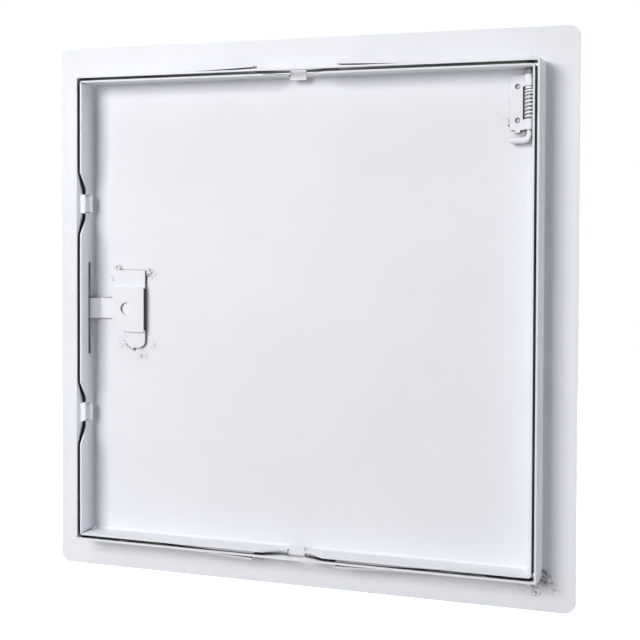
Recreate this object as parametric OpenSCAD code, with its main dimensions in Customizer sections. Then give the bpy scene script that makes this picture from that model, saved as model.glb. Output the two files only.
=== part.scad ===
// Flush sheet-steel access panel for ceilings and walls: frame, hinged door tray, spring pin hinge, cam latch.
// X runs right, Z up and Y towards the room, seen from behind. The flange's rear face is the plane y = 0.

/* [Frame] */
// Outside of the frame walls, across, the nominal size of the panel
box_size = 300; // [240:5:450]
// Width of the flange outside the walls
flange_w = 20; // [14:1:40]
// Depth of the frame walls behind the flange's rear face
wall_depth = 17; // [16:0.5:30]
// Sheet thickness of frame and door
sheet = 1.2; // [0.8:0.1:1.5]
// Radius of the flange's outer corners
flange_corner_r = 6.5; // [1:0.5:12]
// Inner radius of the fold between flange and walls
frame_bend_r = 0.8; // [0.4:0.1:1.2]

/* [Frame lugs and tabs] */
// Distance from the middle of the side to the free end of a fixing lug
lug_inner = 27; // [24:1:40]
// Distance from the middle of the side to the root of a fixing lug
lug_outer = 120; // [70:1:126]
// Width of a fixing lug
lug_w = 7; // [5:0.5:8]
// Angle that a fixing lug is bent outwards
lug_angle = 1.8; // [0.8:0.1:3]
// Width of the cut around a lug or tab
lance_gap = 0.8; // [0.4:0.1:1.2]
// Distance of the two latch-side stop tabs from the middle of the side
tab_offset = 68; // [50:0.5:90]
// Width of a stop tab
tab_w = 10.5; // [8:0.5:11]
// Length of a stop tab inside the frame wall
tab_length = 5.3; // [4.5:0.1:6.5]
// Depth of a stop tab behind the flange's rear face
tab_depth = 6.9; // [6.5:0.1:7.5]
// Inner radius of the fold of a stop tab
tab_bend_r = 0.8; // [0.4:0.1:1]
// Width of the cut beyond the end of a stop tab
tab_end_gap = 0.9; // [0.8:0.1:2.6]
// Clearance of a stop tab in the door wall
tab_clearance = 0.4; // [0.35:0.05:0.8]

/* [Door] */
// Gap between door and frame all round
door_gap = 1.7; // [1.6:0.1:2.5]
// Depth of the door walls behind the flange's rear face
door_depth = 16; // [15:0.5:28]
// Inner radius of the fold between door sheet and door walls
door_bend_r = 1.5; // [1.2:0.1:2]
// Open seam between two door walls, measured along a wall
seam = 0.35; // [0.2:0.05:0.8]
// Chamfer of the two hinge-side corners of the door walls
hinge_chamfer = 1.2; // [1:0.1:4]
// Width of a relief notch at the open edge
notch_mouth = 40; // [32:1:44]
// Width of a relief notch at its floor
notch_floor = 20; // [16:1:24]
// Depth of a relief notch
notch_depth = 6.8; // [6:0.1:7.2]
// Radius of the two corners on the floor of a relief notch
notch_r = 5; // [2:0.5:6]
// Length of the latch slot in the door wall
slot_length = 60; // [40:1:80]
// Width of the latch slots
slot_w = 3.2; // [2.8:0.1:3.6]

/* [Hinge] */
// Distance of the hinge axis from the outside of the frame wall
axis_inset = 7.6; // [7.5:0.1:9]
// Distance of the hinge axis behind the flange's rear face
axis_depth = 4.2; // [4.1:0.1:4.5]
// Diameter of the spring pin and the pivot stud
pin_d = 3.8; // [3.4:0.1:4]
// Running clearance of the pins, on the radius
pin_clearance = 0.15; // [0.1:0.05:0.3]
// Clearance of the spring pin in the door wall, on the radius
wall_hole_clearance = 0.7; // [0.4:0.1:0.9]
// Height of the hinge leaf
leaf_height = 31.8; // [30:0.2:40]
// Distance from the outside of the frame wall to the top of the hinge leaf
leaf_drop = 7.8; // [7:0.1:12]
// Width of the flat part of the hinge leaf
leaf_w = 8.5; // [7.5:0.5:12]
// Thickness of the hinge leaf
leaf_t = 1.3; // [0.8:0.1:1.3]
// Height of each hinge knuckle
knuckle_h = 6.6; // [5:0.2:8]
// Depth of the window that the leaf leaves beside the spring
window_in = 0.9; // [0.6:0.1:1.8]
// Diameter of the two holes in the hinge leaf
leaf_hole_d = 3.2; // [2:0.1:4]
// Length of the spring pin above the outside of the frame wall
pin_proud = 1.9; // [1:0.1:3]
// Length of the finger handle from the hinge axis
handle_length = 12.5; // [10:0.5:18]
// Centre-line radius of the handle's bend
handle_bend_r = 4; // [3.5:0.5:5]
// Distance from the hinge leaf down to the handle's centre line
handle_drop = 6.2; // [6:0.1:8]
// Wire diameter of the pin spring
wire_d = 0.8; // [0.6:0.05:0.9]
// Number of turns of the pin spring
spring_turns = 8.3; // [6:0.1:9]
// Thickness of the pin collar
collar_t = 1.6; // [1:0.1:2]

/* [Latch] */
// Distance of the latch spindle from the outside of the frame wall
spindle_inset = 30; // [29:0.5:31]
// Height of the bridge above the door sheet
bridge_rise = 3.2; // [3.1:0.1:3.5]
// Thickness of the bridge
bridge_t = 1.2; // [1:0.1:1.4]
// Diameter of the hole in the bridge
bridge_hole_d = 8; // [7:0.5:9]
// Height of the bridge's feet above the door sheet
foot_rise = 1; // [0.6:0.1:1.2]
// Distance from the spindle to the bridge's edge beside the door wall
bridge_near = 10; // [9:0.5:11]
// Distance from the spindle to the bridge's far edge
bridge_far = 12.6; // [12:0.1:20]
// Height of the bridge above the spindle
bridge_up = 24.9; // [22:0.1:30]
// Depth of the bridge below the spindle
bridge_down = 25.3; // [24.5:0.1:34]
// Height of the raised span above the spindle
span_up = 13.6; // [12:0.2:15]
// Depth of the raised span below the spindle
span_down = 14.3; // [14:0.1:16]
// Radius of a weld tack on the bridge
bridge_weld_r = 2.5; // [2:0.1:2.6]
// Thickness of the cam
cam_t = 1.8; // [1.5:0.1:1.9]
// Width of the cam
cam_w = 13; // [10:0.5:14]
// Gap between the cam's rounded end and the frame wall
cam_end_gap = 0.4; // [0.3:0.1:0.8]
// Across flats of the spindle's square
square_af = 7; // [6:0.5:8]
// Diameter of the spindle in the door sheet
spindle_d = 10; // [9:0.5:11]
// Diameter of the slotted head
head_d = 14; // [12:0.5:18]
// Thickness of the slotted head
head_t = 1.2; // [0.8:0.1:2]
// Thickness of the cam washer
washer_t = 0.75; // [0.5:0.05:0.75]
// Width of the cam washer's rim
washer_rim = 3; // [2:0.2:4]

/* [Hidden] */
$fn = 64;
fine_gap = 0.05;
box_half = box_size / 2;
frame_half = box_half + flange_w;
frame_in = box_half - sheet;
door_half = frame_in - door_gap;
door_in = door_half - sheet;
door_bend_out = door_bend_r + sheet;
frame_bend_out = frame_bend_r + sheet;
wedge_far = box_size;
prism_in = 16;
prism_out = 8;
lug_edge = 3.4;
lug_y0 = -wall_depth + lug_edge;
notch_y = -door_depth + notch_depth;
tab_y = -tab_depth;
tab_root_y = tab_y + sheet + tab_bend_r;
tab_blank = tab_length - tab_bend_r + PI / 2 * (tab_bend_r + sheet / 2);
tab_window_y = tab_root_y - tab_blank - tab_end_gap;
slot_y = -5.6;
axis_x = box_half - axis_inset;
pin_r = pin_d / 2;
knuckle_r = pin_r + pin_clearance + leaf_t;
leaf_top = box_half - leaf_drop;
leaf_bottom = leaf_top - leaf_height;
curl_gap = 0.7;
knuckle_root = 1.4;
leaf_right = axis_x - knuckle_r - curl_gap;
leaf_left = leaf_right - leaf_w;
curl_y = -axis_depth + knuckle_r;
spring_bottom = leaf_bottom + knuckle_h - 0.6;
collar_top = leaf_top - knuckle_h - 0.2;
spring_top = collar_top - collar_t;
wire_r = wire_d / 2;
spring_clearance = 0.2;
spring_r = pin_r + spring_clearance + wire_r;
handle_z = leaf_bottom - handle_drop;
pin_top = box_half + pin_proud;
stud_shoulder_r = 3;
stud_in = 1;
spindle_x = -box_half + spindle_inset;
cam_y = -washer_t - fine_gap;
cam_reach = frame_in - cam_end_gap + spindle_x;
crank_gap = 1.4;
crank_run = 5.5;
cam_crank = door_in + spindle_x - crank_gap;
cam_lift = -slot_y - cam_t / 2 + cam_y;
spindle_clearance = 0.25;
peen_t = 0.25;
bridge_left = spindle_x - bridge_near;
bridge_right = spindle_x + bridge_far;
foot_offset = 0.7;
foot_left = spindle_x - foot_offset;
foot_r = 5;
corner_run = 3.6;
corner_drop = 7.4;
upper_foot_z = (bridge_up + span_up) / 2;
lower_foot_z = -(bridge_down + span_down) / 2;
stud_inset = 4.5;
stud_r = 2;
weld_offset = 1;
weld_top_in = 1.4;
weld_far_drop = 0.4;
weld_near_drop = 5.4;
weld_foot_rise = 4.6;
weld_foot_in = 4.2;

// Node to draw

// One side of a square ring, turned from the right side: 0 right, 1 bottom, 2 left, 3 top
module on_side(k) {
    rotate([0, 90 * k, 0]) children();
}

// Keeps the part of a right-hand side that lies between its two mitres
module mitred(back) {
    intersection() {
        children();
        rotate([90, 0, 0])
            linear_extrude(height = wedge_far, center = true)
                polygon([[back, 0], [wedge_far, wedge_far - back], [wedge_far, back - wedge_far]]);
    }
}

// Prism across a right-hand wall, from points along the side and in depth
module wall_prism(points) {
    translate([box_half + prism_out, 0, 0])
        rotate([0, -90, 0])
            linear_extrude(height = prism_in + prism_out)
                polygon(points);
}

// Quarter of a folded sheet in section, its centre at the origin
module fold_section(inner, outer, sx, sy) {
    intersection() {
        difference() {
            circle(r = outer);
            circle(r = inner);
        }
        translate([sx > 0 ? 0 : -2 * outer, sy > 0 ? 0 : -2 * outer])
            square(2 * outer);
    }
}

module rounded_square_2d(half, r) {
    square([2 * half, 2 * (half - r)], center = true);
    square([2 * (half - r), 2 * half], center = true);
    for (sx = [-1, 1], sy = [-1, 1])
        translate([sx * (half - r), sy * (half - r)])
            circle(r = r);
}

// Lays a plan drawn in X and Z into the model, from depth y0 towards the room
module plan(y0, thick) {
    translate([0, y0 + thick, 0])
        rotate([90, 0, 0])
            linear_extrude(height = thick)
                children();
}

module frame_side() {
    mitred(0) {
        linear_extrude(height = box_size + 8, center = true) {
            translate([frame_in, -wall_depth])
                square([sheet, wall_depth - frame_bend_r]);
            translate([box_half + frame_bend_r, -frame_bend_r])
                fold_section(frame_bend_r, frame_bend_out, -1, 1);
        }
    }
}

module lug_cuts() {
    for (s = [-1, 1])
        wall_prism([[s * (lug_inner - lance_gap), lug_y0 - lance_gap],
                    [s * lug_outer, lug_y0 - lance_gap],
                    [s * lug_outer, lug_y0 + lug_w + lance_gap],
                    [s * (lug_inner - lance_gap), lug_y0 + lug_w + lance_gap]]);
}

module lugs() {
    for (s = [0, 1])
        mirror([0, 0, s])
            translate([frame_in, lug_y0, lug_outer])
                rotate([0, -lug_angle, 0])
                    translate([0, 0, lug_inner - lug_outer])
                        cube([sheet, lug_w, lug_outer - lug_inner + 1]);
}

// Window that a stop tab leaves in the frame wall when it is folded inwards
module tab_cut(at) {
    wall_prism([[at - tab_w / 2 - lance_gap, tab_window_y],
                [at + tab_w / 2 + lance_gap, tab_window_y],
                [at + tab_w / 2 + lance_gap, tab_root_y],
                [at - tab_w / 2 - lance_gap, tab_root_y]]);
}

// Stop tab, folded inwards from the frame wall, level with the door sheet
module tab(at) {
    translate([0, 0, at])
        linear_extrude(height = tab_w, center = true) {
            translate([frame_in, tab_root_y])
                square([sheet, sheet]);
            translate([frame_in - tab_bend_r, tab_root_y])
                fold_section(tab_bend_r, tab_bend_r + sheet, 1, -1);
            translate([frame_in - tab_length, tab_y])
                square([tab_length - tab_bend_r, sheet]);
        }
}

module frame() {
    color([0.93, 0.94, 0.95]) {
        difference() {
            union() {
                plan(0, sheet)
                    difference() {
                        rounded_square_2d(frame_half, flange_corner_r);
                        square(2 * (box_half + frame_bend_r), center = true);
                    }
                for (k = [0:3])
                    on_side(k) frame_side();
            }
            on_side(3) lug_cuts();
            on_side(1) lug_cuts();
            on_side(3) tab_cut(0);
            on_side(1) tab_cut(0);
            on_side(2) tab_cut(tab_offset);
            on_side(2) tab_cut(-tab_offset);
            translate([-box_half - 2, slot_y - slot_w / 2, -slot_length / 4])
                cube([4, slot_w, slot_length / 2]);
            translate([axis_x, -axis_depth, frame_in - 1])
                cylinder(r = pin_r + pin_clearance, h = sheet + 2);
            translate([axis_x, -axis_depth, -box_half - 1])
                cylinder(r = pin_r, h = sheet + 2);
        }
        on_side(3) lugs();
        on_side(1) lugs();
        on_side(3) tab(0);
        on_side(1) tab(0);
        on_side(2) tab(tab_offset);
        on_side(2) tab(-tab_offset);
    }
}

// Lower pivot, fixed in the frame's bottom wall, with a shoulder that carries the door
module pivot_stud() {
    color([0.9, 0.91, 0.92])
        translate([axis_x, -axis_depth, 0]) {
            translate([0, 0, -box_half - 4.6])
                cylinder(r1 = pin_r - 0.5, r2 = pin_r, h = 0.5);
            translate([0, 0, -box_half - 4.1])
                cylinder(r = pin_r, h = box_half + 4.1 - door_in + stud_in);
            translate([0, 0, -door_in + stud_in])
                cylinder(r1 = pin_r, r2 = pin_r - 0.5, h = 0.5);
            translate([0, 0, -frame_in])
                cylinder(r = stud_shoulder_r, h = door_gap - 0.2);
        }
}

module door_side() {
    mitred(seam) {
        linear_extrude(height = box_size, center = true) {
            translate([door_in, -door_depth])
                square([sheet, door_depth + sheet - door_bend_out]);
            translate([door_half - door_bend_out, sheet - door_bend_out])
                fold_section(door_bend_r, door_bend_out, 1, 1);
        }
    }
}

// Relief notch with sloping flanks, its floor corners rounded, and a slot in its floor for the stop tab
module notch_cut(at) {
    slot_half = tab_w / 2 + tab_clearance;
    slot_end = tab_y + sheet + tab_clearance;
    slope = (notch_mouth - notch_floor) / 2 / notch_depth;
    lean = atan(slope);
    run = notch_r * tan((90 - lean) / 2);
    wall_prism([[at - notch_mouth / 2 - slope, -door_depth - 1],
                [at + notch_mouth / 2 + slope, -door_depth - 1],
                [at + notch_floor / 2 + run * sin(lean), notch_y - run * cos(lean)],
                [at + notch_floor / 2 - run, notch_y],
                [at - notch_floor / 2 + run, notch_y],
                [at - notch_floor / 2 - run * sin(lean), notch_y - run * cos(lean)]]);
    wall_prism([[at - slot_half, notch_y - 1], [at + slot_half, notch_y - 1],
                [at + slot_half, slot_end], [at - slot_half, slot_end]]);
    for (s = [-1, 1])
        translate([box_half - prism_in, notch_y - notch_r, at + s * (notch_floor / 2 - run)])
            rotate([0, 90, 0])
                cylinder(r = notch_r, h = prism_in + prism_out);
}

// Corner of the walls in plan, outside the chamfer line
module chamfer_corner() {
    polygon([[door_half - hinge_chamfer, door_half], [door_half, door_half - hinge_chamfer],
             [door_half + 1, door_half - hinge_chamfer], [door_half + 1, door_half + 1],
             [door_half - hinge_chamfer, door_half + 1]]);
}

// Strip of sheet along the chamfer
module chamfer_strip() {
    web = sheet * sqrt(2);
    polygon([[door_half - hinge_chamfer, door_half], [door_half, door_half - hinge_chamfer],
             [door_half, door_half - hinge_chamfer - web], [door_half - hinge_chamfer - web, door_half]]);
}

module door_tray() {
    wall_top = sheet - door_bend_out;
    color([0.93, 0.94, 0.96])
        difference() {
            union() {
                plan(0, sheet)
                    square(2 * (door_half - door_bend_out), center = true);
                difference() {
                    for (k = [0:3])
                        on_side(k) door_side();
                    for (s = [0, 1])
                        mirror([0, 0, s])
                            plan(-door_depth - 1, door_depth + 1 + wall_top)
                                chamfer_corner();
                }
                for (s = [0, 1])
                    mirror([0, 0, s])
                        plan(-door_depth, door_depth + wall_top)
                            chamfer_strip();
            }
            on_side(3) notch_cut(0);
            on_side(1) notch_cut(0);
            on_side(2) notch_cut(tab_offset);
            on_side(2) notch_cut(-tab_offset);
            translate([-door_half - 2, slot_y - slot_w / 2, -slot_length / 2])
                cube([5, slot_w, slot_length]);
            translate([axis_x, -axis_depth, door_in - hinge_chamfer])
                cylinder(r = pin_r + wall_hole_clearance, h = hinge_chamfer + sheet + 1);
            translate([axis_x, -axis_depth, -door_half - 1])
                cylinder(r = pin_r + pin_clearance, h = hinge_chamfer + sheet + 1);
            translate([spindle_x, -1, 0])
                rotate([-90, 0, 0])
                    cylinder(r = spindle_d / 2 + spindle_clearance, h = sheet + 2);
        }
}

module knuckle(z0, h) {
    translate([axis_x, -axis_depth, z0])
        cylinder(r = knuckle_r, h = h);
    translate([leaf_right - 1, curl_y - leaf_t, z0])
        cube([axis_x - leaf_right + 1, leaf_t, h]);
    translate([leaf_right - knuckle_root, curl_y - leaf_t, z0])
        cube([knuckle_root, leaf_t - curl_y, h]);
}

// Plan of the leaf's window beside the spring, its inner corners rounded
module window_plan() {
    window_r = window_in / 2;
    low = spring_bottom;
    high = leaf_top - knuckle_h;
    translate([leaf_right - window_in + window_r, low])
        square([window_in, high - low]);
    translate([leaf_right - window_in, low + window_r])
        square([window_in, high - low - 2 * window_r]);
    for (z = [low + window_r, high - window_r])
        translate([leaf_right - window_in + window_r, z])
            circle(r = window_r);
}

// Leaf flat on the door sheet, with two knuckles curled round the pin and a nose above the handle
module hinge_leaf() {
    low_h = spring_bottom - leaf_bottom;
    color([0.92, 0.93, 0.94])
        difference() {
            union() {
                translate([leaf_left, -leaf_t, leaf_bottom])
                    cube([leaf_w, leaf_t, leaf_height]);
                knuckle(leaf_top - knuckle_h, knuckle_h);
                knuckle(leaf_bottom, low_h);
                translate([leaf_right - 5.6, -leaf_t, leaf_bottom - 1.6])
                    cube([3.2, leaf_t, 2]);
            }
            translate([axis_x, -axis_depth, leaf_bottom - 1])
                cylinder(r = pin_r + pin_clearance, h = leaf_height + 2);
            for (z = [leaf_top - knuckle_h, leaf_bottom + 5.6])
                translate([leaf_right - 4, 1, z])
                    rotate([90, 0, 0])
                        cylinder(d = leaf_hole_d, h = leaf_t + 2);
            plan(-leaf_t - 1, leaf_t + 2) window_plan();
        }
}

// Weld tacks on the door sheet along the inner edge of the leaf
module hinge_welds() {
    color([0.9, 0.9, 0.91])
        difference() {
            for (z = [leaf_top - 2.6, leaf_top - 15.4, leaf_bottom + 3.4])
                translate([leaf_left, 0, z])
                    sphere(r = 1.5);
            translate([leaf_left, -leaf_t, leaf_bottom])
                cube([leaf_w, 10, leaf_height]);
            translate([leaf_left - 5, 0, leaf_bottom - 5])
                cube([leaf_w, 10, leaf_height + 10]);
        }
}

// Rod with a pointed top and a finger handle bent at its lower end
module spring_pin() {
    tip = 0.6;
    color([0.91, 0.92, 0.93])
        translate([axis_x, -axis_depth, 0]) {
            translate([0, 0, handle_z + handle_bend_r])
                cylinder(r = pin_r, h = pin_top - tip - handle_z - handle_bend_r);
            translate([0, 0, pin_top - tip])
                cylinder(r1 = pin_r, r2 = pin_r - tip, h = tip);
            translate([-handle_bend_r, 0, handle_z + handle_bend_r])
                rotate([90, 0, 0])
                    rotate([0, 0, -90])
                        rotate_extrude(angle = 90)
                            translate([handle_bend_r, 0])
                                circle(r = pin_r);
            translate([-handle_length + pin_r, 0, handle_z])
                rotate([0, 90, 0])
                    cylinder(r = pin_r, h = handle_length - pin_r - handle_bend_r);
            translate([-handle_length + pin_r, 0, handle_z])
                sphere(r = pin_r);
        }
}

// Ring fixed on the pin, pushed up by the spring
module pin_collar() {
    color([0.75, 0.76, 0.78])
        translate([axis_x, -axis_depth, spring_top])
            difference() {
                cylinder(r = spring_r + wire_r, h = collar_t);
                translate([0, 0, -1])
                    cylinder(r = pin_r, h = collar_t + 2);
            }
}

// Level cut through the wire of a coil, bent round the coil's axis
module wire_cut(pitch, steps) {
    reach = 360 * wire_r / pitch;
    angles = [for (i = [0:steps]) -reach * cos(180 * i / steps)];
    outer = [for (a = angles) let (h = pitch * a / 360, w = sqrt(max(0, wire_r * wire_r - h * h)))
             [(spring_r + w) * cos(a), (spring_r + w) * sin(a)]];
    inner = [for (i = [steps - 1:-1:1]) let (a = angles[i], h = pitch * a / 360,
             w = sqrt(max(0, wire_r * wire_r - h * h))) [(spring_r - w) * cos(a), (spring_r - w) * sin(a)]];
    polygon(concat(outer, inner));
}

// Compression coil from the lower knuckle to the collar, with ground ends
module pin_spring() {
    length = spring_top - spring_bottom;
    color([0.8, 0.81, 0.83])
        translate([axis_x, -axis_depth, spring_bottom])
            linear_extrude(height = length, twist = -360 * spring_turns, slices = ceil(spring_turns * 14), $fn = 14)
                wire_cut(length / spring_turns, 7);
}

// Plan of the bridge between its two steps
module bridge_plan() {
    polygon([[bridge_left, span_up], [bridge_right, span_up], [bridge_right, -span_down],
             [foot_left - corner_run, -span_down], [bridge_left, -corner_drop]]);
}

module upper_foot_plan() {
    translate([bridge_left, span_up])
        square([bridge_right - bridge_left, bridge_up - span_up]);
}

// Plan of the lower foot, its end rounded
module lower_foot_plan() {
    translate([foot_left, foot_r - bridge_down])
        square([bridge_right - foot_left, bridge_down - span_down - foot_r]);
    translate([foot_left + foot_r, -bridge_down])
        square([bridge_right - foot_left - 2 * foot_r, foot_r + 1]);
    for (x = [foot_left + foot_r, bridge_right - foot_r])
        translate([x, foot_r - bridge_down])
            circle(r = foot_r);
}

module bridge_solid() {
    plan(-bridge_rise - bridge_t, bridge_t) bridge_plan();
    plan(-foot_rise - bridge_t, bridge_t) upper_foot_plan();
    plan(-foot_rise - bridge_t, bridge_t) lower_foot_plan();
    translate([bridge_left, -bridge_rise - bridge_t, span_up - bridge_t / 2])
        cube([bridge_right - bridge_left, bridge_rise + bridge_t - foot_rise, bridge_t]);
    translate([foot_left, -bridge_rise - bridge_t, -span_down - bridge_t / 2])
        cube([bridge_right - foot_left, bridge_rise + bridge_t - foot_rise, bridge_t]);
    for (p = [[bridge_left + stud_inset, upper_foot_z], [bridge_right - stud_inset, upper_foot_z],
              [foot_left + stud_inset, lower_foot_z], [bridge_right - stud_inset, lower_foot_z]])
        translate([p[0], 0, p[1]])
            rotate([90, 0, 0])
                cylinder(r = stud_r, h = foot_rise + bridge_t / 4);
}

// Stepped bracket over the cam, its feet standing on four weld projections
module latch_bridge() {
    color([0.93, 0.93, 0.94])
        difference() {
            bridge_solid();
            translate([spindle_x, 0, 0])
                rotate([90, 0, 0])
                    cylinder(d = bridge_hole_d, h = bridge_rise + bridge_t + 1);
        }
}

// Weld tacks that join the feet of the bridge to the door sheet
module latch_welds() {
    color([0.9, 0.9, 0.91])
        difference() {
            for (p = [[bridge_left + weld_top_in, bridge_up + weld_offset],
                      [bridge_right + weld_offset, bridge_up - weld_far_drop],
                      [bridge_left - weld_offset, bridge_up - weld_near_drop],
                      [foot_left - weld_offset, weld_foot_rise - bridge_down],
                      [foot_left + weld_foot_in, -bridge_down - weld_offset]])
                translate([p[0], 0, p[1]])
                    sphere(r = bridge_weld_r, $fn = 32);
            translate([bridge_left, -foot_rise - bridge_t, span_up])
                cube([bridge_right - bridge_left, bridge_t, bridge_up - span_up]);
            translate([foot_left, -foot_rise - bridge_t, -bridge_down])
                cube([bridge_right - foot_left, bridge_t, bridge_down - span_down]);
            translate([bridge_left - 2 * bridge_weld_r, 0, -bridge_down - 2 * bridge_weld_r])
                cube([bridge_near + bridge_far + 4 * bridge_weld_r, bridge_weld_r + 1,
                      bridge_up + bridge_down + 4 * bridge_weld_r]);
        }
}

// Cranked tongue on the spindle's square, its end rounded about the spindle
module latch_cam() {
    rise_start = cam_crank - crank_run;
    crank_shift = cam_t / 5;
    color([0.92, 0.93, 0.94])
        translate([spindle_x, cam_y, 0])
            difference() {
                union() {
                    rotate([90, 0, 0])
                        cylinder(r = cam_w / 2 + 1, h = cam_t);
                    intersection() {
                        translate([0, 0, -cam_w / 2])
                            linear_extrude(height = cam_w)
                                polygon([[0, 0], [-rise_start, 0], [-cam_crank, -cam_lift],
                                         [-cam_reach - 1, -cam_lift], [-cam_reach - 1, -cam_lift - cam_t],
                                         [-cam_crank - crank_shift, -cam_lift - cam_t],
                                         [-rise_start - crank_shift, -cam_t], [0, -cam_t]]);
                        rotate([90, 0, 0])
                            cylinder(r = cam_reach, h = cam_lift + cam_t + 1);
                    }
                }
                translate([-square_af / 2, -cam_t - 1, -square_af / 2])
                    cube([square_af, cam_t + 2, square_af]);
            }
}

// Slotted head, round in the door sheet, square in the cam, its end peened over the cam
module latch_spindle() {
    color([0.78, 0.79, 0.81])
        translate([spindle_x, 0, 0])
            difference() {
                union() {
                    translate([0, sheet + fine_gap, 0])
                        rotate([-90, 0, 0])
                            cylinder(d = head_d, h = head_t);
                    translate([0, cam_y, 0])
                        rotate([-90, 0, 0])
                            cylinder(d = spindle_d, h = sheet + fine_gap - cam_y);
                    translate([-square_af / 2, cam_y - cam_t, -square_af / 2])
                        cube([square_af, cam_t, square_af]);
                    translate([0, cam_y - cam_t, 0])
                        rotate([90, 0, 0])
                            cylinder(d = square_af + 3, h = peen_t);
                }
                translate([-head_d, sheet + fine_gap + head_t - 0.8, -0.8])
                    cube([2 * head_d, 2, 1.6]);
            }
}

// Washer between the door sheet and the cam
module cam_washer() {
    color([0.78, 0.79, 0.8])
        translate([spindle_x, 0, 0])
            rotate([90, 0, 0])
                difference() {
                    cylinder(d = spindle_d + 2 * washer_rim, h = washer_t);
                    translate([0, 0, -1])
                        cylinder(d = spindle_d + 0.4, h = washer_t + 2);
                }
}

frame();
pivot_stud();
door_tray();
hinge_leaf();
hinge_welds();
spring_pin();
pin_collar();
pin_spring();
latch_bridge();
latch_welds();
latch_cam();
latch_spindle();
cam_washer();
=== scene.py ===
import math
import bpy
import bmesh
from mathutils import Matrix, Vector


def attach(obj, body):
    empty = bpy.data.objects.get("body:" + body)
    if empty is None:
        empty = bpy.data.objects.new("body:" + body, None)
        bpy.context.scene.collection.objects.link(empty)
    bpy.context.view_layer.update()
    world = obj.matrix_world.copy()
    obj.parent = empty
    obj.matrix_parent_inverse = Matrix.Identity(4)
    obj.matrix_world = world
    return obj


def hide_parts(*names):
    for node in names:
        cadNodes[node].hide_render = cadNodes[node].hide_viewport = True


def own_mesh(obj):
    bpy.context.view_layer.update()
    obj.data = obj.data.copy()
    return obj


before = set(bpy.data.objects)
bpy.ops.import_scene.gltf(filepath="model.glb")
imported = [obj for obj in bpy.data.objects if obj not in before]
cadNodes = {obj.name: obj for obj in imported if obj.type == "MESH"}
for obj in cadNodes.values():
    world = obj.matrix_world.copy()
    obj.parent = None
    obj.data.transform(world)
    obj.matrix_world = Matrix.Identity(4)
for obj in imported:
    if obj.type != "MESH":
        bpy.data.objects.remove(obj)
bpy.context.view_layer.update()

mm = 0.001
scene = bpy.context.scene
print("panel loaded:", len(cadNodes), "nodes")


def linearColor(hexText):
    parts = [int(hexText[i:i + 2], 16) / 255 for i in (1, 3, 5)]
    return [c / 12.92 if c <= 0.04045 else ((c + 0.055) / 1.055) ** 2.4 for c in parts] + [1.0]


def addNode(tree, kind, settings=None, values=None, links=None):
    node = tree.nodes.new(kind)
    for name, value in (settings or {}).items():
        setattr(node, name, value)
    for socket, value in (values or {}).items():
        node.inputs[socket].default_value = value
    for socket, source in (links or {}).items():
        tree.links.new(source, node.inputs[socket])
    return node


def newMaterial(name):
    material = bpy.data.materials.new(name)
    material.use_nodes = True
    tree = material.node_tree
    tree.nodes.clear()
    output = addNode(tree, "ShaderNodeOutputMaterial")
    shader = addNode(tree, "ShaderNodeBsdfPrincipled")
    tree.links.new(shader.outputs["BSDF"], output.inputs["Surface"])
    place = addNode(tree, "ShaderNodeTexCoord").outputs["Object"]
    return material, tree, shader, place


# White polyester powder coat on sheet steel, sprayed and baked: satin, with a fine orange peel, a slow
# change of tone where the coat is thicker, and grey smoke beside the welds. Painted shade darkens the slit
# along the corner weld and beside the corner nub, the tight folds, and the narrow gaps between pieces.
coat = {
    "light": "#E6E8EC",
    "shade": "#DFE1E6",
    "toneSize": 70 * mm,
    "paintedFoldShade": "#2E3136",
    "paintedFoldShadeFrom": 0.36,          # share of open daylight in a fold where the painted fold shade starts
    "paintedFoldShadeTo": 0.12,
    "gapShade": "#16181B",
    "reach": 8 * mm,           # how far away a face still takes daylight
    "daylightSamples": 8,
    "smoke": {"colour": "#77797C", "grain": 2.0 * mm, "from": 0.44, "to": 0.64},
    # painted shade of the corner slit and beside the corner nub
    "slitShade": {"colour": "#2B2D31", "grain": 1.5 * mm, "from": 0.4, "to": 0.56},
    "markedFrom": 0.7 * mm,    # smoke and the painted slit shade are on the rear faces, none on the room side
    "markedTo": 0.3 * mm,
    "smooth": 0.45,            # roughness, which follows the tone
    "dull": 0.56,
    "ior": 1.5,
    "shine": 0.3,
    "peelSize": 1.6 * mm,      # real peel is near 0.8 mm, drawn twice as coarse so that it shows
    "peelHeight": 0.02 * mm,
    "peelStrength": 0.35,
}


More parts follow.
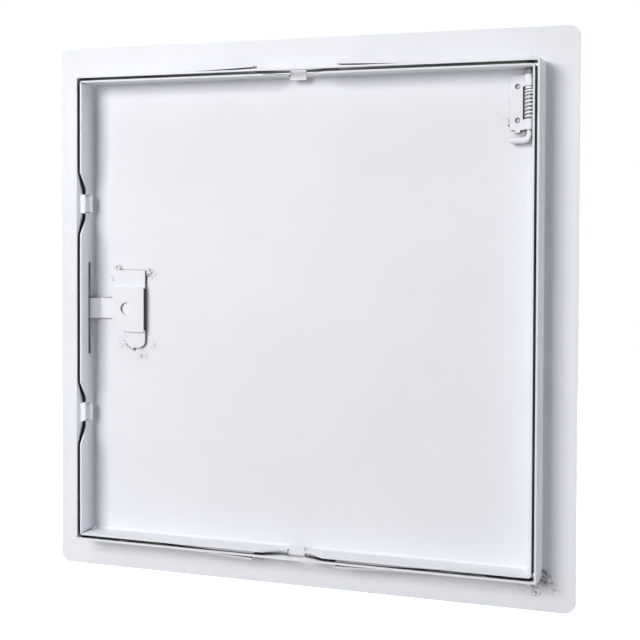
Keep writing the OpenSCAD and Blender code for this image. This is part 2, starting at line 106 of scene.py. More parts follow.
# grey weld smoke is a real stain; the same marks also paint the shade at the corner slit and nub
def smokeAndShadeMarked(tree, place, colour, marks, stainAndShade):
    # marks: x, z and radius in mm, and how dark the mark is in its middle
    total = None
    for x, z, radius, depth in marks:
        away = addNode(tree, "ShaderNodeVectorMath", {"operation": "DISTANCE"},
                       {1: (x * mm, 0.0, z * mm)}, {0: place})
        near = addNode(tree, "ShaderNodeMapRange", {"interpolation_type": "SMOOTHSTEP"},
                       {"From Min": radius * mm, "From Max": 0.0, "To Max": depth},
                       {"Value": away.outputs["Value"]}).outputs["Result"]
        total = near if total is None else addNode(
            tree, "ShaderNodeMath", {"operation": "MAXIMUM"}, links={0: total, 1: near}).outputs[0]
    grain = addNode(tree, "ShaderNodeTexNoise", values={"Scale": 1 / stainAndShade["grain"], "Detail": 4.0},
                    links={"Vector": place})
    patches = addNode(tree, "ShaderNodeMapRange",
                      values={"From Min": stainAndShade["from"], "From Max": stainAndShade["to"]},
                      links={"Value": grain.outputs["Fac"]})
    patchy = addNode(tree, "ShaderNodeMath", {"operation": "MULTIPLY"},
                     links={0: total, 1: patches.outputs["Result"]})
    axes = addNode(tree, "ShaderNodeSeparateXYZ", links={0: place})
    rear = addNode(tree, "ShaderNodeMapRange",
                   values={"From Min": coat["markedFrom"], "From Max": coat["markedTo"]},
                   links={"Value": axes.outputs["Y"]})
    amount = addNode(tree, "ShaderNodeMath", {"operation": "MULTIPLY"},
                     links={0: patchy.outputs[0], 1: rear.outputs["Result"]})
    return addNode(tree, "ShaderNodeMix", {"data_type": "RGBA"}, {7: linearColor(stainAndShade["colour"])},
                   {"Factor": amount.outputs[0], 6: colour}).outputs[2]


# door and frame face each other across a narrow gap, and the painted shade is darkest deep between those
# walls;
# distances in mm
doorGap = {"lineFrom": 0.5, "lineTo": 0.1, "shadeFromY": -16.5, "shadeFullY": -12.0}


# painted shade in the door gap, set by place: darker near each wall line and deeper between the walls
def paintedGapShade(tree, place, lost, gapShade):
    axes = addNode(tree, "ShaderNodeSeparateXYZ", links={0: place})
    across = addNode(tree, "ShaderNodeMath", {"operation": "ABSOLUTE"}, links={0: axes.outputs["X"]})
    upward = addNode(tree, "ShaderNodeMath", {"operation": "ABSOLUTE"}, links={0: axes.outputs["Z"]})
    outer = addNode(tree, "ShaderNodeMath", {"operation": "MAXIMUM"},
                    links={0: across.outputs[0], 1: upward.outputs[0]})
    inGap = addNode(tree, "ShaderNodeMapRange",
                    values={"From Min": (gapShade["wall"] - doorGap["lineFrom"]) * mm,
                            "From Max": (gapShade["wall"] - doorGap["lineTo"]) * mm, "To Max": gapShade["gapShadeAid"]},
                    links={"Value": outer.outputs[0]})
    deep = addNode(tree, "ShaderNodeMapRange", {"interpolation_type": "SMOOTHSTEP"},
                   {"From Min": doorGap["shadeFromY"] * mm, "From Max": doorGap["shadeFullY"] * mm},
                   {"Value": axes.outputs["Y"]})
    aid = addNode(tree, "ShaderNodeMath", {"operation": "MULTIPLY"},
                  links={0: inGap.outputs["Result"], 1: deep.outputs["Result"]})
    return addNode(tree, "ShaderNodeMath", {"operation": "ADD"},
                   links={0: lost, 1: aid.outputs[0]}).outputs[0]


def powderCoat(name, gapShade, smokeMarks=(), slitShadeMarks=()):
    # painted gap shade: lost daylight where it starts and is full, how dark it gets, and the wall line at
    # the door gap
    material, tree, shader, place = newMaterial(name)
    tone = addNode(tree, "ShaderNodeTexNoise", values={"Scale": 1 / coat["toneSize"], "Detail": 3.0},
                   links={"Vector": place})
    colour = addNode(tree, "ShaderNodeMix", {"data_type": "RGBA"},
                     {6: linearColor(coat["light"]), 7: linearColor(coat["shade"])},
                     {"Factor": tone.outputs["Fac"]}).outputs[2]
    if smokeMarks:
        colour = smokeAndShadeMarked(tree, place, colour, smokeMarks, coat["smoke"])
    if slitShadeMarks:
        colour = smokeAndShadeMarked(tree, place, colour, slitShadeMarks, coat["slitShade"])
    alone = addNode(tree, "ShaderNodeAmbientOcclusion",
                    {"samples": coat["daylightSamples"], "only_local": True}, {"Distance": coat["reach"]})
    built = addNode(tree, "ShaderNodeAmbientOcclusion",
                    {"samples": coat["daylightSamples"]}, {"Distance": coat["reach"]})
    # painted shade in tight folds, where the piece's own walls take the daylight
    paintedFoldShade = addNode(tree, "ShaderNodeMapRange", {"interpolation_type": "SMOOTHSTEP"},
                   {"From Min": coat["paintedFoldShadeFrom"], "From Max": coat["paintedFoldShadeTo"]},
                   {"Value": alone.outputs["AO"]})
    colour = addNode(tree, "ShaderNodeMix", {"data_type": "RGBA"}, {7: linearColor(coat["paintedFoldShade"])},
                     {"Factor": paintedFoldShade.outputs["Result"], 6: colour}).outputs[2]
    lost = addNode(tree, "ShaderNodeMath", {"operation": "SUBTRACT"},
                   links={0: alone.outputs["AO"], 1: built.outputs["AO"]}).outputs[0]
    if "wall" in gapShade:
        lost = paintedGapShade(tree, place, lost, gapShade)
    # painted shade where another piece takes a face's daylight, in the gaps between pieces
    gapShading = addNode(tree, "ShaderNodeMapRange", {"interpolation_type": "SMOOTHSTEP"},
                    {"From Min": gapShade["from"], "From Max": gapShade["to"], "To Max": gapShade["most"]},
                    {"Value": lost})
    colour = addNode(tree, "ShaderNodeMix", {"data_type": "RGBA"}, {7: linearColor(coat["gapShade"])},
                     {"Factor": gapShading.outputs["Result"], 6: colour}).outputs[2]
    peel = addNode(tree, "ShaderNodeTexNoise", values={"Scale": 1 / coat["peelSize"], "Detail": 1.5},
                   links={"Vector": place})
    bump = addNode(tree, "ShaderNodeBump",
                   values={"Strength": coat["peelStrength"], "Distance": coat["peelHeight"]},
                   links={"Height": peel.outputs["Fac"]})
    gloss = addNode(tree, "ShaderNodeMapRange", values={"To Min": coat["smooth"], "To Max": coat["dull"]},
                    links={"Value": tone.outputs["Fac"]})
    tree.links.new(colour, shader.inputs["Base Color"])
    tree.links.new(gloss.outputs["Result"], shader.inputs["Roughness"])
    tree.links.new(bump.outputs["Normal"], shader.inputs["Normal"])
    shader.inputs["IOR"].default_value = coat["ior"]
    shader.inputs["Specular IOR Level"].default_value = coat["shine"]
    return material


# Zinc plated steel, turned: bluish bright metal, cloudy in patches, with fine tool marks.
zincFinish = {
    "bright": "#C9CDD2", "cloudy": "#AEB3BA", "cloudSize": 4 * mm, "smooth": 0.24, "dull": 0.4,
    "markSize": 0.5 * mm, "markHeight": 0.01 * mm, "markStrength": 0.25,
    "coatedTo": -0.8 * mm, "bareFrom": -0.4 * mm,
}


def zincPlate(name, overspray=False):
    material, tree, shader, place = newMaterial(name)
    cloud = addNode(tree, "ShaderNodeTexNoise", links={"Vector": place},
                    values={"Scale": 1 / zincFinish["cloudSize"], "Detail": 4.0})
    colour = addNode(tree, "ShaderNodeMix", {"data_type": "RGBA"},
                     {6: linearColor(zincFinish["bright"]), 7: linearColor(zincFinish["cloudy"])},
                     {"Factor": cloud.outputs["Fac"]}).outputs[2]
    wear = addNode(tree, "ShaderNodeMapRange",
                   values={"To Min": zincFinish["smooth"], "To Max": zincFinish["dull"]},
                   links={"Value": cloud.outputs["Fac"]})
    if overspray:  # the end behind the door sheet took the coat when the door was sprayed
        axes = addNode(tree, "ShaderNodeSeparateXYZ", links={0: place})
        metal = addNode(tree, "ShaderNodeMapRange",
                        values={"From Min": zincFinish["coatedTo"], "From Max": zincFinish["bareFrom"]},
                        links={"Value": axes.outputs["Y"]}).outputs["Result"]
        colour = addNode(tree, "ShaderNodeMix", {"data_type": "RGBA"}, {6: linearColor(coat["light"])},
                         {"Factor": metal, 7: colour}).outputs[2]
        tree.links.new(metal, shader.inputs["Metallic"])
    else:
        shader.inputs["Metallic"].default_value = 1.0
    marks = addNode(tree, "ShaderNodeTexNoise", links={"Vector": place},
                    values={"Scale": 1 / zincFinish["markSize"], "Detail": 2.0})
    bump = addNode(tree, "ShaderNodeBump",
                   values={"Strength": zincFinish["markStrength"], "Distance": zincFinish["markHeight"]},
                   links={"Height": marks.outputs["Fac"]})
    tree.links.new(colour, shader.inputs["Base Color"])
    tree.links.new(wear.outputs["Result"], shader.inputs["Roughness"])
    tree.links.new(bump.outputs["Normal"], shader.inputs["Normal"])
    return material


# Drawn spring wire, coated with the door: white, with small patches where grey steel was left bare.
wireFinish = {
    "coated": "#E9EBEE", "steel": "#B4B8BE", "patchSize": 1.2 * mm, "bareFrom": 0.55, "bareTo": 0.72,
    "bareMost": 0.7, "roughness": 0.34,
}


def springWire(name):
    material, tree, shader, place = newMaterial(name)
    worn = addNode(tree, "ShaderNodeTexNoise", links={"Vector": place},
                   values={"Scale": 1 / wireFinish["patchSize"], "Detail": 3.0})
    bare = addNode(tree, "ShaderNodeMapRange",
                   values={"From Min": wireFinish["bareFrom"], "From Max": wireFinish["bareTo"],
                           "To Max": wireFinish["bareMost"]},
                   links={"Value": worn.outputs["Fac"]}).outputs["Result"]
    colour = addNode(tree, "ShaderNodeMix", {"data_type": "RGBA"},
                     {6: linearColor(wireFinish["coated"]), 7: linearColor(wireFinish["steel"])},
                     {"Factor": bare}).outputs[2]
    tree.links.new(colour, shader.inputs["Base Color"])
    tree.links.new(bare, shader.inputs["Metallic"])
    shader.inputs["Roughness"].default_value = wireFinish["roughness"]
    return material


# Weld metal under the coat: lumpy, with pits that the powder bridged over and left dark.
weldFinish = {
    "coated": "#E6E8EC", "pit": "#36383B", "pitSize": 1.3 * mm, "pitFrom": 0.51, "pitTo": 0.61,
    "pitMost": 0.95, "bumpHeight": 0.15 * mm, "bumpStrength": 0.6, "roughness": 0.45,
}


def coatedWeld(name):
    material, tree, shader, place = newMaterial(name)
    pits = addNode(tree, "ShaderNodeTexNoise", links={"Vector": place},
                   values={"Scale": 1 / weldFinish["pitSize"], "Detail": 3.0})
    dark = addNode(tree, "ShaderNodeMapRange",
                   values={"From Min": weldFinish["pitFrom"], "From Max": weldFinish["pitTo"],
                           "To Max": weldFinish["pitMost"]},
                   links={"Value": pits.outputs["Fac"]}).outputs["Result"]
    colour = addNode(tree, "ShaderNodeMix", {"data_type": "RGBA"},
                     {6: linearColor(weldFinish["coated"]), 7: linearColor(weldFinish["pit"])},
                     {"Factor": dark}).outputs[2]
    bump = addNode(tree, "ShaderNodeBump",
                   values={"Strength": weldFinish["bumpStrength"], "Distance": weldFinish["bumpHeight"]},
                   links={"Height": pits.outputs["Fac"]})
    tree.links.new(colour, shader.inputs["Base Color"])
    tree.links.new(bump.outputs["Normal"], shader.inputs["Normal"])
    shader.inputs["Roughness"].default_value = weldFinish["roughness"]
    return material


doorSmoke = [
    (-103.5, 22.5, 6, 0.7), (-122.5, -22.5, 7, 0.7), (-110, -29.5, 6, 0.6), (-128, 25, 5, 0.6),
    (-102.5, -23, 5, 0.4), (-131, 20, 4, 0.5), (128, 117, 4, 0.4),
]
frameSmoke = [(152, -150, 9, 0.6), (139, -154, 7, 0.4), (158, -156, 6, 0.4)]
# painted shade of the slit along the corner weld and beside the corner nub, drawn as dark marks
frameSlitShade = [
    (151.2, -146, 2.2, 0.8), (152.3, -147.5, 2.6, 0.95), (151.6, -150, 2.4, 0.9),
    (151, -152.5, 2.6, 0.95), (152.6, -153.6, 2, 0.9), (154.8, -149.2, 1.8, 0.6),
    (156, -152.8, 1.6, 0.8), (145.6, -156.4, 1.6, 0.7), (149.2, -159.6, 1.4, 0.6),
]
# how strong the painted gap shade is on each piece
frameGapShade = {"from": 0.5, "to": 0.68, "most": 1.0, "wall": 148.8, "gapShadeAid": 0.35}
doorGapShade = {"from": 0.4, "to": 0.6, "most": 1.0, "wall": 147.1, "gapShadeAid": 0.16}
fittingGapShade = {"from": 0.4, "to": 0.64, "most": 0.8}
studGapShade = {"from": 0.9, "to": 1.0, "most": 0.3}
coatFrame = powderCoat("white powder coat, frame", frameGapShade, frameSmoke, frameSlitShade)
coatStud = powderCoat("white powder coat, stud", studGapShade)
coatDoor = powderCoat("white powder coat, door", doorGapShade, doorSmoke)
coatFittings = powderCoat("white powder coat, fittings", fittingGapShade)
zinc = zincPlate("zinc plated steel")
zincOversprayed = zincPlate("zinc plated steel, coated end", overspray=True)
wirePaint = springWire("spring wire, coated")
weldPaint = coatedWeld("coated weld metal")
print("materials ready")


def bakedMesh(carrier, name):
    mesh = bpy.data.meshes.new_from_object(carrier.evaluated_get(bpy.context.evaluated_depsgraph_get()))
    mesh.name = name
    bpy.data.objects.remove(carrier)
    piece = bpy.data.objects.new(name, mesh)
    scene.collection.objects.link(piece)
    return piece


# a coat rounds cut edges, so a piece is its solid with edges softened by some mm; the bent rod keeps its own
edges = {"frame": 0.25, "door": 0.25, "fittings": 0.2, "spindle": 0.15, "washer": 0.1, "rod": 0}
softening = {  # angles in degrees
    "merge": 0.0005 * mm, "flatAngle": 0.3, "sharpAngle": 35, "roundAngle": 25, "segments": 2,
    "levelWeight": 100,
}


def mergedCopy(source, name):
    shell = bmesh.new()
    shell.from_mesh(cadNodes[source].data)
    bmesh.ops.remove_doubles(shell, verts=shell.verts, dist=softening["merge"])
    bmesh.ops.dissolve_limit(shell, angle_limit=math.radians(softening["flatAngle"]),
                             verts=shell.verts, edges=shell.edges)
    mesh = bpy.data.meshes.new(name)
    shell.to_mesh(mesh)
    shell.free()
    mesh.shade_smooth()
    return mesh


def coatedPiece(name, source, body, material, edge):
    mesh = mergedCopy(source, name + "Blank")
    blank = bpy.data.objects.new(name + "Blank", mesh)
    scene.collection.objects.link(blank)
    if edge:
        soft = blank.modifiers.new("edge", "BEVEL")
        soft.width = edge * mm
        soft.segments = softening["segments"]
        soft.limit_method = "ANGLE"
        soft.angle_limit = math.radians(softening["roundAngle"])
        soft.use_clamp_overlap = True
    else:
        mesh.set_sharp_from_angle(angle=math.radians(softening["sharpAngle"]))
    level = blank.modifiers.new("level", "WEIGHTED_NORMAL")
    level.mode = "FACE_AREA"
    level.weight = softening["levelWeight"]
    level.keep_sharp = True
    piece = bakedMesh(blank, name)
    piece.data.materials.clear()
    piece.data.materials.append(material)
    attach(piece, body)
    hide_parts(source)


coatedPiece("frameCoated", "frame", "frame", coatFrame, edges["frame"])
coatedPiece("pivotStudCoated", "pivot_stud", "frame", coatStud, edges["fittings"])
coatedPiece("doorTrayCoated", "door_tray", "door", coatDoor, edges["door"])
coatedPiece("hingeLeafCoated", "hinge_leaf", "door", coatFittings, edges["fittings"])
coatedPiece("springPinCoated", "spring_pin", "pin", coatFittings, edges["rod"])
coatedPiece("pinCollarCoated", "pin_collar", "pin", coatFittings, edges["fittings"])
coatedPiece("latchBridgeCoated", "latch_bridge", "door", coatFittings, edges["fittings"])
coatedPiece("latchCamCoated", "latch_cam", "latch", coatFittings, edges["fittings"])
coatedPiece("latchSpindlePlated", "latch_spindle", "latch", zincOversprayed,
            edges["spindle"])
coatedPiece("camWasherPlated", "cam_washer", "door", zinc, edges["washer"])
print("coated pieces ready")


def newTree(name):
    tree = bpy.data.node_groups.new(name, "GeometryNodeTree")
    tree.interface.new_socket("Geometry", in_out="INPUT", socket_type="NodeSocketGeometry")
    tree.interface.new_socket("Geometry", in_out="OUTPUT", socket_type="NodeSocketGeometry")
    return tree


def addInput(tree, name, socketType):
    return tree.interface.new_socket(name, in_out="INPUT", socket_type=socketType).identifier


# pin spring: wire swept along a coil whose end turns lie closed, sizes in mm
spring = {
    "x": 142.4, "y": -4.2, "low": 116.4, "high": 133.8, "radius": 2.65, "wire": 1.1, "wireSides": 12,
    "turns": 8.3, "closedTurns": 0.9, "closedPitch": 1.05, "startAngle": -1.1, "stepsPerTurn": 36,
    "stroke": 5.5,
}


def springPath():
    wire, turns, closed = spring["wire"], spring["turns"], spring["closedTurns"]
    low, high = spring["low"] + wire / 2, spring["high"] - wire / 2
    steps = round(turns * spring["stepsPerTurn"])
    closedRise = wire * spring["closedPitch"]
    openTurns = turns - 2 * closed
    openRise = (high - low - 2 * closed * closedRise) / openTurns
    points = []
    for i in range(steps + 1):
        turn = turns * i / steps
        z = low + min(turn, closed) * closedRise
        z += max(0.0, min(turn - closed, openTurns)) * openRise
        z += max(0.0, turn - (turns - closed)) * closedRise
        angle = math.tau * turn + spring["startAngle"]
        points.append((spring["x"] + spring["radius"] * math.cos(angle),
                       spring["y"] + spring["radius"] * math.sin(angle), z))
    return points


def sweepTree():
    tree = newTree("wireAlongPath")
    ids = {"radius": addInput(tree, "Wire Radius", "NodeSocketFloat"),
           "sides": addInput(tree, "Wire Sides", "NodeSocketInt"),
           "paint": addInput(tree, "Paint", "NodeSocketMaterial")}
    start = addNode(tree, "NodeGroupInput")
    ring = addNode(tree, "GeometryNodeCurvePrimitiveCircle",
                   links={"Resolution": start.outputs["Wire Sides"],
                          "Radius": start.outputs["Wire Radius"]})
    sweep = addNode(tree, "GeometryNodeCurveToMesh", values={"Fill Caps": True},
                    links={"Curve": start.outputs["Geometry"], "Profile Curve": ring.outputs["Curve"]})
    smooth = addNode(tree, "GeometryNodeSetShadeSmooth", links={"Geometry": sweep.outputs["Mesh"]})
    real = addNode(tree, "GeometryNodeRealizeInstances", links={"Geometry": smooth.outputs[0]})
    paint = addNode(tree, "GeometryNodeSetMaterial",
                    links={"Geometry": real.outputs[0], "Material": start.outputs["Paint"]})
    addNode(tree, "NodeGroupOutput", links={"Geometry": paint.outputs[0]})
    return tree, ids


def sweptCoil(name):
    path = springPath()
    curve = bpy.data.curves.new("springPath", "CURVE")
    curve.dimensions = "3D"
    line = curve.splines.new("POLY")
    line.points.add(len(path) - 1)
    for point, (x, y, z) in zip(line.points, path):
        point.co = (x * mm, y * mm, z * mm, 1.0)
    carrier = bpy.data.objects.new("springCarrier", curve)
    scene.collection.objects.link(carrier)
    tree, ids = sweepTree()
    sweep = carrier.modifiers.new("wire", "NODES")
    sweep.node_group = tree
    sweep[ids["radius"]] = spring["wire"] / 2 * mm
    sweep[ids["sides"]] = spring["wireSides"]
    sweep[ids["paint"]] = wirePaint
    return bakedMesh(carrier, name)


coil = sweptCoil("pinSpringCoil")
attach(coil, "door")
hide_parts("pin_spring")
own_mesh(coil)
print("pin spring ready")


# weld tacks: lumpy beads set on points of the rear face, each turned and sized by a fixed seed
tackShape = {"smallest": 0.55, "lumpSize": 1.6 * mm, "faceLevel": -0.01 * mm, "subdivisions": 4}


def tackTree():
    tree = newTree("weldTacks")
    ids = {"radius": addInput(tree, "Tack Radius", "NodeSocketFloat"),
           "lump": addInput(tree, "Lump Height", "NodeSocketFloat"),
           "flatten": addInput(tree, "Flatten", "NodeSocketFloat"),
           "seed": addInput(tree, "Seed", "NodeSocketInt"),
           "paint": addInput(tree, "Paint", "NodeSocketMaterial")}
    start = addNode(tree, "NodeGroupInput")
    ball = addNode(tree, "GeometryNodeMeshIcoSphere", values={"Subdivisions": tackShape["subdivisions"]},
                   links={"Radius": start.outputs["Tack Radius"]})
    spin = addNode(tree, "FunctionNodeRandomValue", {"data_type": "FLOAT_VECTOR"},
                   {"Max": (0.0, math.tau, 0.0)}, {"Seed": start.outputs["Seed"]})
    grow = addNode(tree, "FunctionNodeRandomValue", {"data_type": "FLOAT"},
                   {2: tackShape["smallest"], 3: 1.0}, {"Seed": start.outputs["Seed"]})
    beads = addNode(tree, "GeometryNodeInstanceOnPoints",
                    links={"Points": start.outputs["Geometry"], "Instance": ball.outputs["Mesh"],
                           "Rotation": spin.outputs["Value"], "Scale": grow.outputs[1]})
    real = addNode(tree, "GeometryNodeRealizeInstances", links={"Geometry": beads.outputs["Instances"]})
    lumps = addNode(tree, "ShaderNodeTexNoise", {"noise_dimensions": "3D"},
                    {"Scale": 1 / tackShape["lumpSize"], "Detail": 2.0})
    centred = addNode(tree, "ShaderNodeMath", {"operation": "SUBTRACT"}, {1: 0.5},
                      {0: lumps.outputs["Fac"]})
    height = addNode(tree, "ShaderNodeMath", {"operation": "MULTIPLY"},
                     links={0: centred.outputs[0], 1: start.outputs["Lump Height"]})
    normal = addNode(tree, "GeometryNodeInputNormal")
    outward = addNode(tree, "ShaderNodeVectorMath", {"operation": "SCALE"},
                      links={0: normal.outputs[0], "Scale": height.outputs[0]})
    lumpy = addNode(tree, "GeometryNodeSetPosition",
                    links={"Geometry": real.outputs[0], "Offset": outward.outputs[0]})
    position = addNode(tree, "GeometryNodeInputPosition")
    axes = addNode(tree, "ShaderNodeSeparateXYZ", links={0: position.outputs[0]})
    pressed = addNode(tree, "ShaderNodeMath", {"operation": "MULTIPLY"},
                      links={0: axes.outputs["Y"], 1: start.outputs["Flatten"]})
    level = addNode(tree, "ShaderNodeMath", {"operation": "MINIMUM"}, {1: tackShape["faceLevel"]},
                    {0: pressed.outputs[0]})
    laid = addNode(tree, "ShaderNodeCombineXYZ",
                   links={"X": axes.outputs["X"], "Y": level.outputs[0], "Z": axes.outputs["Z"]})
    seated = addNode(tree, "GeometryNodeSetPosition",
                     links={"Geometry": lumpy.outputs[0], "Position": laid.outputs[0]})
    smooth = addNode(tree, "GeometryNodeSetShadeSmooth", links={"Geometry": seated.outputs[0]})
    paint = addNode(tree, "GeometryNodeSetMaterial",
                    links={"Geometry": smooth.outputs[0], "Material": start.outputs["Paint"]})
    addNode(tree, "NodeGroupOutput", links={"Geometry": paint.outputs[0]})
    return tree, ids


tackGroup, tackIds = tackTree()


def weldTacks(name, tack, body, paint, stands=()):
    mesh = bpy.data.meshes.new(name + "Spots")
    mesh.from_pydata([(x * mm, 0.0, z * mm) for x, z in tack["spots"]], [], [])
    carrier = bpy.data.objects.new(name + "Spots", mesh)
    scene.collection.objects.link(carrier)
    modifier = carrier.modifiers.new("tacks", "NODES")
    modifier.node_group = tackGroup
    modifier[tackIds["radius"]] = tack["radius"] * mm
    modifier[tackIds["lump"]] = tack["lump"] * mm
    modifier[tackIds["flatten"]] = tack["flatten"]
    modifier[tackIds["seed"]] = tack["seed"]
    modifier[tackIds["paint"]] = paint
    piece = bakedMesh(carrier, name)
    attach(piece, body)
    if stands:
        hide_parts(*stands)


latchTacks = {
    "spots": [(-128.9, 25.9), (-127.2, 26.0), (-105.9, 24.5), (-105.6, 22.9), (-131.0, 19.4),
              (-121.6, -20.6), (-122.0, -22.4), (-116.4, -26.2), (-118.4, -25.0)],
    "radius": 2.2, "lump": 1.1, "flatten": 0.75, "seed": 5,
}
hingeTacks = {
    "spots": [(129.7, 139.6), (129.5, 126.8), (129.6, 113.8)],
    "radius": 1.5, "lump": 0.7, "flatten": 0.7, "seed": 2,
}
cornerBead = {
    "spots": [(154.6, -151.8), (155.4, -152.3), (154.2, -150.9)],
    "radius": 1.3, "lump": 0.7, "flatten": 0.6, "seed": 4,
}
nub = {
    "x": 147.1, "z": -159.0, "ring": 1.6, "beads": 11,
    "radius": 0.95, "lump": 0.25, "flatten": 0.9, "seed": 9,
}
nubAngles = [math.tau * i / nub["beads"] for i in range(nub["beads"])]
nub["spots"] = [(nub["x"] + nub["ring"] * math.cos(angle), nub["z"] + nub["ring"] * math.sin(angle))
                for angle in nubAngles]
weldTacks("latchWeldTacks", latchTacks, "door", weldPaint, ["latch_welds"])
weldTacks("hingeWeldTacks", hingeTacks, "door", weldPaint, ["hinge_welds"])
weldTacks("cornerWeldBead", cornerBead, "frame", coatFittings)
weldTacks("cornerWeldNub", nub, "frame", coatFittings)
print("weld tacks ready")


# camera at the photograph's place: location in mm, turn in degrees
photoCamera = {
    "location": (278.02, -737.72, 54.52), "turn": (88.6772, -0.2186, 19.8206),
    "lens": 71.592, "sensor": 36.0, "shiftY": -0.1018, "nearest": 0.01, "farthest": 50.0,
}
cameraData = bpy.data.cameras.new("camera")
cameraData.lens = photoCamera["lens"]
cameraData.sensor_width = photoCamera["sensor"]
cameraData.shift_y = photoCamera["shiftY"]
cameraData.clip_start = photoCamera["nearest"]
cameraData.clip_end = photoCamera["farthest"]
camera = bpy.data.objects.new("camera", cameraData)
camera.location = [v * mm for v in photoCamera["location"]]
camera.rotation_euler = [math.radians(v) for v in photoCamera["turn"]]
scene.collection.objects.link(camera)
scene.camera = camera

# near soft box high on the left, others above and for the front, a cool strip and fill at the right;
# places and sizes in metres
lamps = {
    "keyBox": {"place": (-0.85, -1.8, 0.66), "size": (1.09, 1.01), "power": 39.8, "colour": "#FFFFFF"},
    "topBox": {"place": (-0.3, -0.6, 2.6), "size": (1.2, 0.6), "power": 17.0, "colour": "#FFFFFF"},
    "sideStrip": {"place": (2.6, -0.095, 0.1), "size": (0.15, 1.2), "power": 23.0, "colour": "#F2F6FF"},
    "fillBox": {"place": (1.2, -1.7, -0.45), "size": (1.0, 1.0), "power": 4.8, "colour": "#EEF4FF"},
    "frontBox": {"place": (-0.6, 2.6, 1.0), "size": (1.4, 1.4), "power": 68.0, "colour": "#FFFFFF"},
}
for lampName, lamp in lamps.items():
    lampData = bpy.data.lights.new(lampName, "AREA")
    lampData.shape = "RECTANGLE"
    lampData.size, lampData.size_y = lamp["size"]
    lampData.energy = lamp["power"]
    lampData.color = linearColor(lamp["colour"])[:3]
    lampObject = bpy.data.objects.new(lampName, lampData)
    lampObject.location = lamp["place"]
    lampObject.rotation_euler = Vector(lamp["place"]).to_track_quat("Z", "Y").to_euler()
    scene.collection.objects.link(lampObject)

# sky: white where it is seen, straight or mirrored, and a weak cool light for everything else
skySettings = {"above": 0.03, "below": 0.01, "blend": 0.6, "colour": "#E4ECFF", "seen": "#FFFFFF"}
world = bpy.data.worlds.new("studio")
scene.world = world
world.use_nodes = True
sky = world.node_tree
sky.nodes.clear()
skyOut = addNode(sky, "ShaderNodeOutputWorld")
rays = addNode(sky, "ShaderNodeLightPath")
direction = addNode(sky, "ShaderNodeTexCoord")
height = addNode(sky, "ShaderNodeSeparateXYZ", links={0: direction.outputs["Generated"]})
glow = addNode(sky, "ShaderNodeMapRange", {"interpolation_type": "SMOOTHSTEP"},
               {"From Min": -skySettings["blend"], "From Max": skySettings["blend"],
                "To Min": skySettings["below"], "To Max": skySettings["above"]},
               {"Value": height.outputs["Z"]})
seen = addNode(sky, "ShaderNodeMath", {"operation": "MAXIMUM"},
               links={0: rays.outputs["Is Camera Ray"], 1: rays.outputs["Is Glossy Ray"]})
seenAll = addNode(sky, "ShaderNodeMath", {"operation": "MAXIMUM"},
                  links={0: seen.outputs[0], 1: rays.outputs["Is Transmission Ray"]})
strength = addNode(sky, "ShaderNodeMix", {"data_type": "FLOAT"}, {3: 1.0},
                   {"Factor": seenAll.outputs[0], 2: glow.outputs["Result"]})
tint = addNode(sky, "ShaderNodeMix", {"data_type": "RGBA"},
               {6: linearColor(skySettings["colour"]), 7: linearColor(skySettings["seen"])},
               {"Factor": seenAll.outputs[0]})
background = addNode(sky, "ShaderNodeBackground",
                     links={"Color": tint.outputs[2], "Strength": strength.outputs[0]})
sky.links.new(background.outputs[0], skyOut.inputs["Surface"])

corners = [(-1, -1), (1, -1), (1, 1), (-1, 1)]

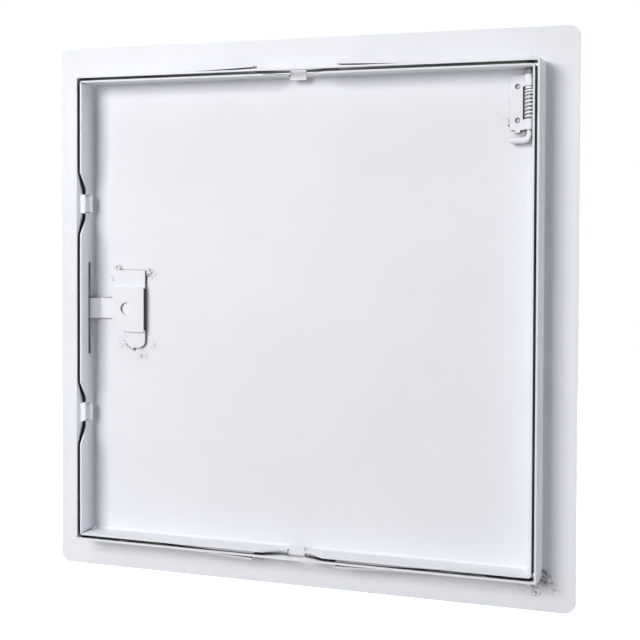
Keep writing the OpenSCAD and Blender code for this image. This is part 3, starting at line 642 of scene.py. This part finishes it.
# pale matt floor: a white glow carries it into the background, a little weaker near the object;
# distances in metres
floorSettings = {
    "level": -0.45, "size": 8.0, "colour": "#A4A4A4", "glow": "#FFFFFF", "glowNear": 0.85, "glowFar": 1.0,
    "near": 0.5, "far": 1.2,
}
half = floorSettings["size"] / 2
floorMesh = bpy.data.meshes.new("floor")
floorMesh.from_pydata([(x * half, y * half, floorSettings["level"]) for x, y in corners], [],
                      [(0, 1, 2, 3)])
floor = bpy.data.objects.new("floor", floorMesh)
scene.collection.objects.link(floor)
floorPaint = bpy.data.materials.new("pale studio floor")
floorPaint.use_nodes = True
floorTree = floorPaint.node_tree
floorTree.nodes.clear()
floorOut = addNode(floorTree, "ShaderNodeOutputMaterial")
floorRays = addNode(floorTree, "ShaderNodeLightPath")
floorSeen = addNode(floorTree, "ShaderNodeMath", {"operation": "MAXIMUM"},
                    links={0: floorRays.outputs["Is Camera Ray"], 1: floorRays.outputs["Is Glossy Ray"]})
floorPlace = addNode(floorTree, "ShaderNodeTexCoord").outputs["Object"]
floorAway = addNode(floorTree, "ShaderNodeVectorMath", {"operation": "LENGTH"}, links={0: floorPlace})
floorWhite = addNode(floorTree, "ShaderNodeMapRange", {"interpolation_type": "SMOOTHSTEP"},
                     {"From Min": floorSettings["near"], "From Max": floorSettings["far"],
                      "To Min": floorSettings["glowNear"], "To Max": floorSettings["glowFar"]},
                     {"Value": floorAway.outputs["Value"]})
floorGlow = addNode(floorTree, "ShaderNodeMath", {"operation": "MULTIPLY"},
                    links={0: floorSeen.outputs[0], 1: floorWhite.outputs["Result"]})
paleDiffuse = addNode(floorTree, "ShaderNodeBsdfDiffuse",
                      values={"Color": linearColor(floorSettings["colour"])})
paleGlow = addNode(floorTree, "ShaderNodeEmission", values={"Color": linearColor(floorSettings["glow"])},
                   links={"Strength": floorGlow.outputs[0]})
both = addNode(floorTree, "ShaderNodeAddShader", links={0: paleDiffuse.outputs[0], 1: paleGlow.outputs[0]})
floorTree.links.new(both.outputs[0], floorOut.inputs["Surface"])
floorMesh.materials.append(floorPaint)

# black flags in the door gap keep the front light out of it; the camera and reflections don't show them
flags = {"inner": 147.2, "outer": 148.7, "level": 0.4, "colour": "#0A0A0A"}
flagMesh = bpy.data.meshes.new("gapFlags")
flagMesh.from_pydata([(x * r * mm, flags["level"] * mm, z * r * mm)
                      for r in (flags["inner"], flags["outer"]) for x, z in corners], [],
                     [(i, (i + 1) % 4, (i + 1) % 4 + 4, i + 4) for i in range(4)])
gapFlags = bpy.data.objects.new("gapFlags", flagMesh)
scene.collection.objects.link(gapFlags)
gapFlags.visible_camera = False
gapFlags.visible_glossy = False
flagPaint = bpy.data.materials.new("black flag card")
flagPaint.use_nodes = True
flagShader = flagPaint.node_tree.nodes["Principled BSDF"]
flagShader.inputs["Base Color"].default_value = linearColor(flags["colour"])
flagMesh.materials.append(flagPaint)
scene.view_settings.view_transform = "Standard"
print("camera and light ready")
